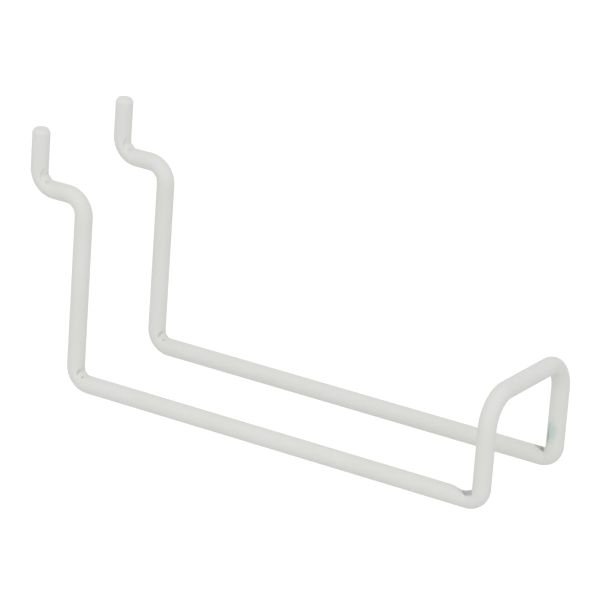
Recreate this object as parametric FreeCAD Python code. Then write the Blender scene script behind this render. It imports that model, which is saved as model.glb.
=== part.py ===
import FreeCAD, Part
import os
from collections import namedtuple
from math import radians, tan

from FreeCAD import Placement, Rotation, Vector

# Pegboard hook, bent from one length of round steel wire. Millimetres and degrees.
# Origin: on the front face of the board, midway between the two holes that take the pegs.
# +X leaves the board along the arms, +Y runs along the row of holes, +Z is up.

# Wire and the board that it hangs on
wire_diameter = 6.35
peg_spacing = 50.8
board_space = 13.35

# Lengths of the runs: the pegs from the crank's axis, the others from axis to axis
peg_rise = 21.2
leg_drop = 68.1
arm_reach = 165.6
loop_rise = 37.1

# Inside radii of the square bends, in order from a peg to the crossbar
peg_bend = 3.9
crank_bend = 4.3
foot_bend = 3.0
toe_bend = 1.75
loop_bend = 7.9

# Bevel ground round the cut ends of the wire
tip_bevel = 0.9

# Pinch that the edge of the clamping jaw left on top of each arm, just behind the toe bend.
# The jaw lay askew the same way on both arms and bit deeper into the left one.
left_pinch_depth = 1.45
right_pinch_depth = 0.7
pinch_back_run = 5.1
pinch_front_run = 0.9
pinch_setback = 1.7
pinch_tilt = 24.0
pinch_skew = 40.0

# Places worked out from the sizes above
wire_radius = wire_diameter / 2
side_y = -peg_spacing / 2
leg_x = wire_radius
peg_x = leg_x - wire_diameter - board_space
front_x = leg_x + arm_reach
arm_z = -leg_drop
bar_z = arm_z + loop_rise

Bend = namedtuple("Bend", "start middle end")


def square_bend(before, corner, after, inside):
    """Quarter turn of the wire's axis at a corner, tangent to the runs on both sides."""
    back = (before - corner).normalize()
    ahead = (after - corner).normalize()
    radius = inside + wire_radius
    centre = corner + (back + ahead) * radius
    middle = centre + (corner - centre).normalize() * radius
    return Bend(corner + back * radius, middle, corner + ahead * radius)


def swept_wire(first, bends, last):
    """Round wire along straight runs and bends, from its first point to its last."""
    edges = []
    run_start = first
    for bend in bends:
        edges.append(Part.LineSegment(run_start, bend.start).toShape())
        edges.append(Part.Arc(bend.start, bend.middle, bend.end).toShape())
        run_start = bend.end
    edges.append(Part.LineSegment(run_start, last).toShape())
    section = Part.Circle(first, bends[0].start - first, wire_radius).toShape()
    return Part.Wire(edges).makePipeShell([Part.Wire(section)], True, False)


def jaw_pinch(on_arm, depth, tilt):
    """Jaw's edge: a wedge askew across the arm at a point of its axis, tilted about that axis."""
    # Its two flanks meet at the deepest point and run out just above the top of the wire
    deepest = Vector(0, 0, wire_radius - depth)
    run_out = 1.2
    back = deepest + Vector(-pinch_back_run, 0, depth) * run_out
    front = deepest + Vector(pinch_front_run, 0, depth) * run_out
    profile = Part.Face(Part.makePolygon([deepest, front, back, deepest]))
    across = Vector(-tan(radians(pinch_skew)), 1, 0) * wire_radius
    profile.translate(-across)
    wedge = profile.extrude(across * 2)
    wedge.Placement = Placement(on_arm, Rotation(Vector(1, 0, 0), tilt))
    return wedge


# One half of the wire, from a cut end down and out to the middle of the crossbar
peg_end = Vector(peg_x, side_y, peg_rise)
peg_corner = Vector(peg_x, side_y, 0)
crank_corner = Vector(leg_x, side_y, 0)
foot_corner = Vector(leg_x, side_y, arm_z)
toe_corner = Vector(front_x, side_y, arm_z)
loop_corner = Vector(front_x, side_y, bar_z)
bar_middle = Vector(front_x, 0, bar_z)

peg_turn = square_bend(peg_end, peg_corner, crank_corner, peg_bend)
crank_turn = square_bend(peg_corner, crank_corner, foot_corner, crank_bend)
foot_turn = square_bend(crank_corner, foot_corner, toe_corner, foot_bend)
toe_turn = square_bend(foot_corner, toe_corner, loop_corner, toe_bend)
loop_turn = square_bend(toe_corner, loop_corner, bar_middle, loop_bend)

turns = [peg_turn, crank_turn, foot_turn, toe_turn, loop_turn]
half = swept_wire(peg_end, turns, bar_middle)

# Bevelled end. The other half mirrors this one, and both are one wire
end_rim = [edge for edge in half.Edges if edge.BoundBox.ZMin > peg_rise - tip_bevel]
half = half.makeChamfer(tip_bevel, end_rim)
hook = half.fuse(half.mirror(Vector(0, 0, 0), Vector(0, 1, 0))).removeSplitter()

# Marks of the clamping jaw, each tilted to the hook's middle
pinch_x = toe_turn.start.x - pinch_setback
hook = hook.cut(jaw_pinch(Vector(pinch_x, side_y, arm_z), left_pinch_depth, -pinch_tilt))
hook = hook.cut(jaw_pinch(Vector(pinch_x, -side_y, arm_z), right_pinch_depth, pinch_tilt))

os.makedirs("parts", exist_ok=True)
hook.Solids[0].exportStep("parts/hook_wire.step")
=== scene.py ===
from collections import namedtuple
from math import atan2, cos, hypot, pi, radians, sin, sqrt

import bpy
from mathutils import Matrix, Vector


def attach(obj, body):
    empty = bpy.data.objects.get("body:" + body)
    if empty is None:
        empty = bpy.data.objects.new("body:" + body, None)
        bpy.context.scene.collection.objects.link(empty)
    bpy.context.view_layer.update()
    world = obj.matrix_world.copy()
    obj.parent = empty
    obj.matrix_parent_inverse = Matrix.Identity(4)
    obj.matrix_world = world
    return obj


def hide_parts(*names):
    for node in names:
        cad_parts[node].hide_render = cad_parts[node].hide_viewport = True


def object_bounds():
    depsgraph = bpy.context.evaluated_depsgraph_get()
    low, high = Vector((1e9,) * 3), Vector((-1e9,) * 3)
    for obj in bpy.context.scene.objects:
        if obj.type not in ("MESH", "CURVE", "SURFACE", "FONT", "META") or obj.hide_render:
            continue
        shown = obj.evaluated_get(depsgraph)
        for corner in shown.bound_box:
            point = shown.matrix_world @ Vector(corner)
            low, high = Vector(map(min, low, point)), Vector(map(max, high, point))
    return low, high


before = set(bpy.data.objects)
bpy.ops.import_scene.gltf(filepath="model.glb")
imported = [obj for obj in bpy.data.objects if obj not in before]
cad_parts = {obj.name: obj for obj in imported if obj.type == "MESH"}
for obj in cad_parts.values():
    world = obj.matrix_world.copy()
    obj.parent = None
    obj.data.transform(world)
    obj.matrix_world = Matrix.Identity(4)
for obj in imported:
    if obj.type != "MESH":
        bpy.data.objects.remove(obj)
cad_low, cad_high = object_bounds()


# Wire: one length of round 6.35 mm steel, cut off, ground round its ends and bent square ten
# times on pins and in a jaw. One half is bent here, from a peg's cut end to the middle of the
# crossbar, and the other half mirrors it.
wire_radius = 0.003175
crank_run = 0.0197
arm_run = 0.1656
upright_run = 0.0371

# The legs lie against the board's face at X = 0, and the cranks run through its holes at Z = 0
side_y = -0.0254
leg_x = wire_radius
peg_x = leg_x - crank_run
front_x = leg_x + arm_run
peg_top = 0.0212
arm_z = -0.0681
bar_z = arm_z + upright_run

up = Vector((0, 0, 1))
ahead = Vector((1, 0, 0))
inward = Vector((0, 1, 0))

peg_corner = Vector((peg_x, side_y, 0))
crank_corner = Vector((leg_x, side_y, 0))
foot_corner = Vector((leg_x, side_y, arm_z))
toe_corner = Vector((front_x, side_y, arm_z))
loop_corner = Vector((front_x, side_y, bar_z))
bar_middle = Vector((front_x, 0, bar_z))

# Radii of the wire's axis in the bends: the inside radius of each bend and half the wire
peg_bend = 0.0039 + wire_radius
crank_bend = 0.0043 + wire_radius
foot_bend = 0.0030 + wire_radius
toe_bend = 0.00175 + wire_radius
loop_bend = 0.0079 + wire_radius


def draw_out(length, direction, rings):
    """Lengthen the wire from its open end along a straight run."""
    step = direction * (length / rings)
    for ring in range(rings):
        bpy.ops.mesh.extrude_region_move(TRANSFORM_OT_translate={"value": step})


def bend_square(corner, before, after, radius, rings):
    """Bend the open end round a square corner. Spin turns left-handed, hence the axis."""
    centre = corner + (after - before) * radius
    bpy.ops.mesh.spin(steps=rings, angle=pi / 2, center=centre, axis=after.cross(before))


# The cut end: a flat face and a ground bevel with softened edges. Each ring of the bevel has its
# height above the one before and its share of the wire's radius.
bevel_profile = [
    (0.00013, 0.993),
    (0.00012, 0.974),
    (0.00012, 0.948),
    (0.00045, 0.86),
    (0.00045, 0.77),
    (0.0001, 0.742),
    (0.00008, 0.705),
]
bevel_height = sum(height for height, share in bevel_profile)
rim_inset = 0.0001
middle_inset = 0.001
ring_z = peg_top - bevel_height
ring_share = 1.0
bpy.ops.object.select_all(action="DESELECT")
bpy.ops.mesh.primitive_circle_add(
    vertices=72, radius=wire_radius, fill_type="NOTHING", location=(peg_x, side_y, ring_z)
)
wire = bpy.context.object
wire.name = "bent_wire"
bpy.ops.object.transform_apply(location=True, rotation=True, scale=True)
bpy.ops.object.mode_set(mode="EDIT")
bpy.ops.mesh.select_all(action="SELECT")
for height, share in bevel_profile:
    ring_z += height
    bpy.ops.mesh.extrude_region_move(TRANSFORM_OT_translate={"value": (0, 0, height)})
    shrink = share / ring_share
    bpy.ops.transform.resize(value=(shrink, shrink, 1), center_override=(peg_x, side_y, ring_z))
    ring_share = share
bpy.ops.mesh.edge_face_add()
bpy.ops.mesh.inset(thickness=rim_inset)
bpy.ops.mesh.inset(thickness=middle_inset)

# From the open rim below the bevel: peg, crank, leg, arm, front upright and half the crossbar.
# The end of the arm has rings close together, for the pinch.
pinched_length = 0.014
bpy.ops.mesh.select_all(action="DESELECT")
bpy.ops.mesh.select_mode(type="EDGE")
bpy.ops.mesh.select_non_manifold()
draw_out(peg_top - bevel_height - peg_bend, -up, rings=20)
bend_square(peg_corner, -up, ahead, peg_bend, rings=48)
draw_out(crank_corner.x - peg_corner.x - peg_bend - crank_bend, ahead, rings=10)
bend_square(crank_corner, ahead, -up, crank_bend, rings=48)
draw_out(crank_corner.z - foot_corner.z - crank_bend - foot_bend, -up, rings=40)
bend_square(foot_corner, -up, ahead, foot_bend, rings=48)
draw_out(toe_corner.x - foot_corner.x - foot_bend - toe_bend - pinched_length, ahead, rings=60)
draw_out(pinched_length, ahead, rings=80)
bend_square(toe_corner, ahead, up, toe_bend, rings=48)
draw_out(loop_corner.z - toe_corner.z - toe_bend - loop_bend, up, rings=24)
bend_square(loop_corner, up, inward, loop_bend, rings=32)
draw_out(bar_middle.y - loop_corner.y - loop_bend, inward, rings=12)
bpy.ops.object.mode_set(mode="OBJECT")


# Marks of the bending tools, pressed into the bare wire before it was painted: a square-edged
# tool left a small flat inside each peg, crank and foot bend, and the edge of the clamping jaw a
# skewed pinch on top of each arm, just behind the toe bend. Painted shade, with a little dirt,
# darkens their edges and creases.
# Share of painted shade, with a little dirt, at each point of the wire: darkest along the marks
tool_shade_and_dirt = wire.data.attributes.new("tool_shade_and_dirt", "FLOAT", "POINT")


def fade(distance, width):
    """Share that is left of a mark at a distance from its middle."""
    return max(0, 1 - (distance / width) ** 2)


# A flat's ends lie this share of the bend's inside radius from the corner where the runs would
# meet. Painted shade with a little dirt runs askew from its first end up the wire, and sits in a
# spot at its second end.
# Places across the wire are shares too: 1 inside the bend, falling to 0 on the wire's sides.
flat_share = 0.4
flat_reach = sqrt(2) - flat_share / sqrt(2)
flat_end = atan2(sqrt(2) / flat_reach - 1, 1)
streak_start = 0.58
streak_width = 0.0009
streak_spread = 0.26
spot_middle = 0.82
spot_width = 0.0006
spot_spread = 0.14
Flat = namedtuple("Flat", "corner before after radius pressed streak_skew streak_middle grime")
peg_flat = Flat(
    corner=peg_corner,
    before=-up,
    after=ahead,
    radius=peg_bend,
    pressed=1.0,
    streak_skew=radians(100),
    streak_middle=0.68,
    grime=0.24,
)
crank_flat = Flat(
    corner=crank_corner,
    before=ahead,
    after=-up,
    radius=crank_bend,
    pressed=0.6,
    streak_skew=radians(100),
    streak_middle=0.68,
    grime=0.0,
)
foot_flat = Flat(
    corner=foot_corner,
    before=-up,
    after=ahead,
    radius=foot_bend,
    pressed=0.8,
    streak_skew=radians(45),
    streak_middle=0.76,
    grime=0.34,
)
for flat in [peg_flat, crank_flat, foot_flat]:
    bend_centre = flat.corner + (flat.after - flat.before) * flat.radius
    inside = (flat.after - flat.before).normalized()
    along = (flat.after + flat.before).normalized()
    for vertex in wire.data.vertices:
        from_centre = vertex.co - bend_centre
        reach = hypot(from_centre.dot(inside), from_centre.dot(along))
        signed_turn = atan2(from_centre.dot(along), -from_centre.dot(inside))
        turn = abs(signed_turn)
        if turn > pi / 4 or reach > flat.radius:
            continue
        inner_share = (flat.radius - reach) / wire_radius
        squared_off = min(1 / cos(pi / 4 - turn), flat_reach / cos(turn))
        moved = 1 + (squared_off - 1) * inner_share * flat.pressed
        vertex.co.x = bend_centre.x + from_centre.x * moved
        vertex.co.z = bend_centre.z + from_centre.z * moved
        if signed_turn < 0:
            streak_turn = flat_end + flat.streak_skew * (inner_share - streak_start)
            beside_mark = fade(turn - streak_turn, streak_width / reach)
            across_mark = fade(inner_share - flat.streak_middle, streak_spread)
        else:
            beside_mark = fade(turn - flat_end, spot_width / reach)
            across_mark = fade(inner_share - spot_middle, spot_spread)
        # Painted shade with a little dirt along the flat's ends, stored for the paint colour
        tool_shade_and_dirt.data[vertex.index].value = beside_mark * across_mark * flat.grime

# The other half mirrors it, and the seam in the middle of the crossbar closes
mirror = wire.modifiers.new("other_half", "MIRROR")
mirror.use_axis = (False, True, False)
mirror.merge_threshold = 0.00001
bpy.ops.object.modifier_apply(modifier=mirror.name)
bpy.ops.object.mode_set(mode="EDIT")
bpy.ops.mesh.select_all(action="SELECT")
bpy.ops.mesh.remove_doubles(threshold=0.000005)
bpy.ops.mesh.normals_make_consistent(inside=False)
bpy.ops.object.mode_set(mode="OBJECT")

# The jaw held both arms the same way round, so both creases run the same way askew. It bit deep
# across the first arm, and on the second only into the side that faces the first one. Painted
# shade with a little dirt starts behind the crease, ends ahead of it, and stays above a foot line
# on the arm's side.
Pinch = namedtuple(
    "Pinch",
    "arm_y set_back depth front_run lean spread grime_back grime_front grime_foot grime",
)
first_pinch = Pinch(
    arm_y=side_y,
    set_back=0.0063,
    depth=0.00185,
    front_run=0.0025,
    lean=radians(6),
    spread=radians(66),
    grime_back=0.0018,
    grime_front=0.0026,
    grime_foot=radians(-48),
    grime=0.5,
)
second_pinch = Pinch(
    arm_y=-side_y,
    set_back=0.0046,
    depth=0.0008,
    front_run=0.0012,
    lean=radians(-32),
    spread=radians(52),
    grime_back=0.0044,
    grime_front=0.0006,
    grime_foot=radians(-33),
    grime=0.8,
)
crease_skew = 0.75
pinch_back_run = 0.0051
back_curve = 1.65
grip_curve = 1.5

# Room that a pinch takes up: beside and above the arm's axis, and behind the front upright's
pinch_side = 0.0036
pinch_top = 0.0046
pinch_first = 0.014
pinch_last = 0.001
top_fade = 0.001
shade_and_dirt_fade = 0.0004
foot_fade = radians(9)

# The share of painted shade and dirt is looked up again, because mirroring rebuilt the mesh
tool_shade_and_dirt = wire.data.attributes["tool_shade_and_dirt"]
for pinch in [first_pinch, second_pinch]:
    for vertex in wire.data.vertices:
        beside = vertex.co.y - pinch.arm_y
        above = vertex.co.z - arm_z
        behind_front = front_x - vertex.co.x
        if abs(beside) > pinch_side or not 0 < above < pinch_top:
            continue
        if not pinch_last < behind_front < pinch_first:
            continue
        past_crease = pinch.set_back + crease_skew * beside - behind_front
        if past_crease < 0:
            depth_share = max(0, 1 + past_crease / pinch_back_run) ** back_curve
            grime = max(0, 1 + past_crease / pinch.grime_back)
        else:
            depth_share = max(0, 1 - past_crease / pinch.front_run)
            grime = min(1, max(0, pinch.grime_front - past_crease) / shade_and_dirt_fade)
        around = atan2(beside, above)
        turned = (around - pinch.lean) / pinch.spread
        grip = cos(turned * pi / 2) ** grip_curve if abs(turned) < 1 else 0
        low_enough = min(1, (pinch_top - above) / top_fade)
        above_foot = min(1, max(0, around - pinch.grime_foot * grime) / foot_fade)
        vertex.co.z -= pinch.depth * depth_share * grip * low_enough
        # Painted shade with a little dirt in and ahead of the pinch's crease
        shade_and_dirt_share = grime * above_foot * low_enough * pinch.grime
        tool_shade_and_dirt.data[vertex.index].value = max(tool_shade_and_dirt.data[vertex.index].value, shade_and_dirt_share)
bpy.ops.object.shade_smooth()


# Powder coat: a satin off-white paint, baked on, with a fine orange peel and cloudy warm and
# cool patches. Where the bending tools pressed the wire, painted shade and a little dirt darken
# it.
warm_white = (0.705, 0.71, 0.672, 1)
cool_white = (0.727, 0.724, 0.718, 1)
# Dark grey of the painted shade and dirt in the tool marks
shade_and_dirt_grey = (0.19, 0.19, 0.195, 1)
paint = bpy.data.materials.new("satin_powder_coat")
paint.use_nodes = True
nodes = paint.node_tree.nodes
links = paint.node_tree.links
coat = nodes["Principled BSDF"]
coat.inputs["Specular IOR Level"].default_value = 0.3

place_on_wire = nodes.new("ShaderNodeTexCoord")
clouds = nodes.new("ShaderNodeTexNoise")
clouds.inputs["Scale"].default_value = 55
clouds.inputs["Detail"].default_value = 3
clouds.inputs["Roughness"].default_value = 0.5
links.new(place_on_wire.outputs["Object"], clouds.inputs["Vector"])
cloud_tint = nodes.new("ShaderNodeValToRGB")
cloud_tint.color_ramp.elements[0].position = 0.3
cloud_tint.color_ramp.elements[0].color = warm_white
cloud_tint.color_ramp.elements[1].position = 0.7
cloud_tint.color_ramp.elements[1].color = cool_white
links.new(clouds.outputs["Fac"], cloud_tint.inputs["Fac"])

# Painted shade and dirt of the tool marks, broken up into specks
shade_and_dirt_mask = nodes.new("ShaderNodeAttribute")
shade_and_dirt_mask.attribute_name = "tool_shade_and_dirt"
shade_and_dirt_specks = nodes.new("ShaderNodeTexNoise")
shade_and_dirt_specks.inputs["Scale"].default_value = 1100
shade_and_dirt_specks.inputs["Detail"].default_value = 2
links.new(place_on_wire.outputs["Object"], shade_and_dirt_specks.inputs["Vector"])
speck_range = nodes.new("ShaderNodeMapRange")
speck_range.inputs["From Min"].default_value = 0.3
speck_range.inputs["From Max"].default_value = 0.7
speck_range.inputs["To Min"].default_value = 0.72
speck_range.inputs["To Max"].default_value = 1.15
links.new(shade_and_dirt_specks.outputs["Fac"], speck_range.inputs["Value"])
specked_shade_and_dirt = nodes.new("ShaderNodeMath")
specked_shade_and_dirt.operation = "MULTIPLY"
links.new(shade_and_dirt_mask.outputs["Fac"], specked_shade_and_dirt.inputs[0])
links.new(speck_range.outputs["Result"], specked_shade_and_dirt.inputs[1])
# The paint colour, darkened by the painted shade and dirt
shaded_and_dirtied = nodes.new("ShaderNodeMix")
shaded_and_dirtied.data_type = "RGBA"
shaded_and_dirtied.inputs["B"].default_value = shade_and_dirt_grey
links.new(specked_shade_and_dirt.outputs["Value"], shaded_and_dirtied.inputs["Factor"])
links.new(cloud_tint.outputs["Color"], shaded_and_dirtied.inputs["A"])

smear_edge = nodes.new("ShaderNodeTexNoise")
smear_edge.inputs["Scale"].default_value = 420
links.new(place_on_wire.outputs["Object"], smear_edge.inputs["Vector"])


def smear(over, centre, size, colour, amount):
    """Rub a colour with a ragged, fading edge over another one, round a point of the wire."""
    place = nodes.new("ShaderNodeMapping")
    place.vector_type = "TEXTURE"
    place.inputs["Location"].default_value = centre
    place.inputs["Scale"].default_value = size
    links.new(place_on_wire.outputs["Object"], place.inputs["Vector"])
    reach = nodes.new("ShaderNodeVectorMath")
    reach.operation = "LENGTH"
    links.new(place.outputs["Vector"], reach.inputs[0])
    ragged_reach = nodes.new("ShaderNodeMath")
    ragged_reach.operation = "ADD"
    links.new(reach.outputs["Value"], ragged_reach.inputs[0])
    links.new(smear_edge.outputs["Fac"], ragged_reach.inputs[1])
    share = nodes.new("ShaderNodeMapRange")
    share.interpolation_type = "SMOOTHSTEP"
    share.inputs["From Min"].default_value = 0.6
    share.inputs["From Max"].default_value = 1.6
    share.inputs["To Min"].default_value = amount
    share.inputs["To Max"].default_value = 0
    links.new(ragged_reach.outputs["Value"], share.inputs["Value"])
    rubbed = nodes.new("ShaderNodeMix")
    rubbed.data_type = "RGBA"
    rubbed.inputs["B"].default_value = colour
    links.new(share.outputs["Result"], rubbed.inputs["Factor"])
    links.new(over, rubbed.inputs["A"])
    return rubbed.outputs["Result"]


# A faint green smear on the inner side of the second front upright, low down, with a darker rim
smear_green = (0.51, 0.615, 0.58, 1)
smear_centre = (front_x - 0.0003, -side_y - wire_radius, -0.0572)
smear_size = (0.0022, 0.0022, 0.0052)
rim_green = (0.37, 0.43, 0.41, 1)
rim_centre = (front_x - 0.0017, -side_y - 0.0027, -0.0587)
rim_size = (0.0010, 0.0010, 0.0046)
smeared = smear(shaded_and_dirtied.outputs["Result"], smear_centre, smear_size, smear_green, amount=0.8)
smeared = smear(smeared, rim_centre, rim_size, rim_green, amount=0.9)
links.new(smeared, coat.inputs["Base Color"])

sheen_patches = nodes.new("ShaderNodeMapRange")
sheen_patches.inputs["To Min"].default_value = 0.46
sheen_patches.inputs["To Max"].default_value = 0.58
links.new(clouds.outputs["Fac"], sheen_patches.inputs["Value"])
links.new(sheen_patches.outputs["Result"], coat.inputs["Roughness"])

orange_peel = nodes.new("ShaderNodeTexNoise")
orange_peel.inputs["Scale"].default_value = 900
orange_peel.inputs["Detail"].default_value = 2
links.new(place_on_wire.outputs["Object"], orange_peel.inputs["Vector"])
peel_bump = nodes.new("ShaderNodeBump")
peel_bump.inputs["Strength"].default_value = 0.35
peel_bump.inputs["Distance"].default_value = 0.00006
links.new(orange_peel.outputs["Fac"], peel_bump.inputs["Height"])
links.new(peel_bump.outputs["Normal"], coat.inputs["Normal"])

wire.data.materials.clear()
wire.data.materials.append(paint)
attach(wire, "root")
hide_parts("hook_wire")


# Floor: a plain white sheet some way below the hook, which hangs clear of it. It stays white
# where the light reaches it and keeps the hook's soft shadow.
floor_drop = 0.30
floor_grey = (0.8, 0.8, 0.8, 1)
floor_lift = 0.30
pure_white = (1, 1, 1, 1)
bpy.ops.object.select_all(action="DESELECT")
bpy.ops.mesh.primitive_plane_add(size=30, location=(0, 0, cad_low.z - floor_drop))
floor = bpy.context.object
floor.name = "floor_sheet"
floor_white = bpy.data.materials.new("white_sheet")
floor_white.use_nodes = True
floor_nodes = floor_white.node_tree.nodes
floor_links = floor_white.node_tree.links
sheet = floor_nodes["Principled BSDF"]
sheet.inputs["Base Color"].default_value = floor_grey
sheet.inputs["Roughness"].default_value = 0.9
sheet.inputs["Specular IOR Level"].default_value = 0
sheet.inputs["Emission Color"].default_value = pure_white


def seen_rays(tree):
    """1 for rays that show a surface to the camera, also by way of gloss or glass, and else 0."""
    ray = tree.nodes.new("ShaderNodeLightPath")
    seen_or_mirrored = tree.nodes.new("ShaderNodeMath")
    seen_or_mirrored.operation = "MAXIMUM"
    tree.links.new(ray.outputs["Is Camera Ray"], seen_or_mirrored.inputs[0])
    tree.links.new(ray.outputs["Is Glossy Ray"], seen_or_mirrored.inputs[1])
    with_glass = tree.nodes.new("ShaderNodeMath")
    with_glass.operation = "MAXIMUM"
    tree.links.new(seen_or_mirrored.outputs["Value"], with_glass.inputs[0])
    tree.links.new(ray.outputs["Is Transmission Ray"], with_glass.inputs[1])
    return with_glass.outputs["Value"]


lift = floor_nodes.new("ShaderNodeMath")
lift.operation = "MULTIPLY"
lift.inputs[1].default_value = floor_lift
floor_links.new(seen_rays(floor_white.node_tree), lift.inputs[0])
floor_links.new(lift.outputs["Value"], sheet.inputs["Emission Strength"])
floor.data.materials.append(floor_white)


# Light: a bright white room with a weak, wide lamp high in front of the hook and a broad soft
# lamp beside the camera. The room itself is seen as plain white.
room_strength = 0.84
room = bpy.data.worlds.new("white_room")
bpy.context.scene.world = room
room.use_nodes = True
room_nodes = room.node_tree.nodes
room_links = room.node_tree.links
room_light = room_nodes["Background"]
room_level = room_nodes.new("ShaderNodeMapRange")
room_level.inputs["To Min"].default_value = room_strength
room_level.inputs["To Max"].default_value = 1.0
room_links.new(seen_rays(room.node_tree), room_level.inputs["Value"])
room_links.new(room_level.outputs["Result"], room_light.inputs["Strength"])
room_light.inputs["Color"].default_value = pure_white


def soft_lamp(name, azimuth, elevation, strength, spread):
    """A wide, even lamp shining on the hook from a direction given as for a camera."""
    lamp = bpy.data.lights.new(name, "SUN")
    lamp.energy = strength
    lamp.angle = radians(spread)
    lamp_object = bpy.data.objects.new(name, lamp)
    bpy.context.scene.collection.objects.link(lamp_object)
    around, height = radians(azimuth), radians(elevation)
    towards = Vector((sin(around) * cos(height), -cos(around) * cos(height), sin(height)))
    lamp_object.rotation_mode = "QUATERNION"
    lamp_object.rotation_quaternion = towards.to_track_quat("Z", "Y")


soft_lamp("high_lamp", azimuth=20, elevation=60, strength=0.16, spread=60)
soft_lamp("camera_lamp", azimuth=30, elevation=20, strength=0.50, spread=50)


# Camera: a long lens, a little over a metre from the hook and above it, turned slightly about
# its own axis, so that it has the photograph's view of the hook.
camera_azimuth = radians(30.909)
camera_elevation = radians(19.713)
camera_roll = radians(4.175)
camera_target = Vector((0.14311, -0.10869, 0.01963))
camera_distance = 1.18475
backward = Vector((
    sin(camera_azimuth) * cos(camera_elevation),
    -cos(camera_azimuth) * cos(camera_elevation),
    sin(camera_elevation),
))
level_right = (-backward).cross(up).normalized()
level_up = level_right.cross(-backward)
image_right = level_right * cos(camera_roll) + level_up * sin(camera_roll)
image_up = level_up * cos(camera_roll) - level_right * sin(camera_roll)
camera_data = bpy.data.cameras.new("view_camera")
camera_data.lens = 228.71
camera_data.sensor_width = 36
camera = bpy.data.objects.new("view_camera", camera_data)
bpy.context.scene.collection.objects.link(camera)
camera.rotation_mode = "QUATERNION"
camera.rotation_quaternion = Matrix((image_right, image_up, backward)).transposed().to_quaternion()
camera.location = camera_target + backward * camera_distance
bpy.context.scene.camera = camera
bpy.context.scene.view_settings.view_transform = "Standard"
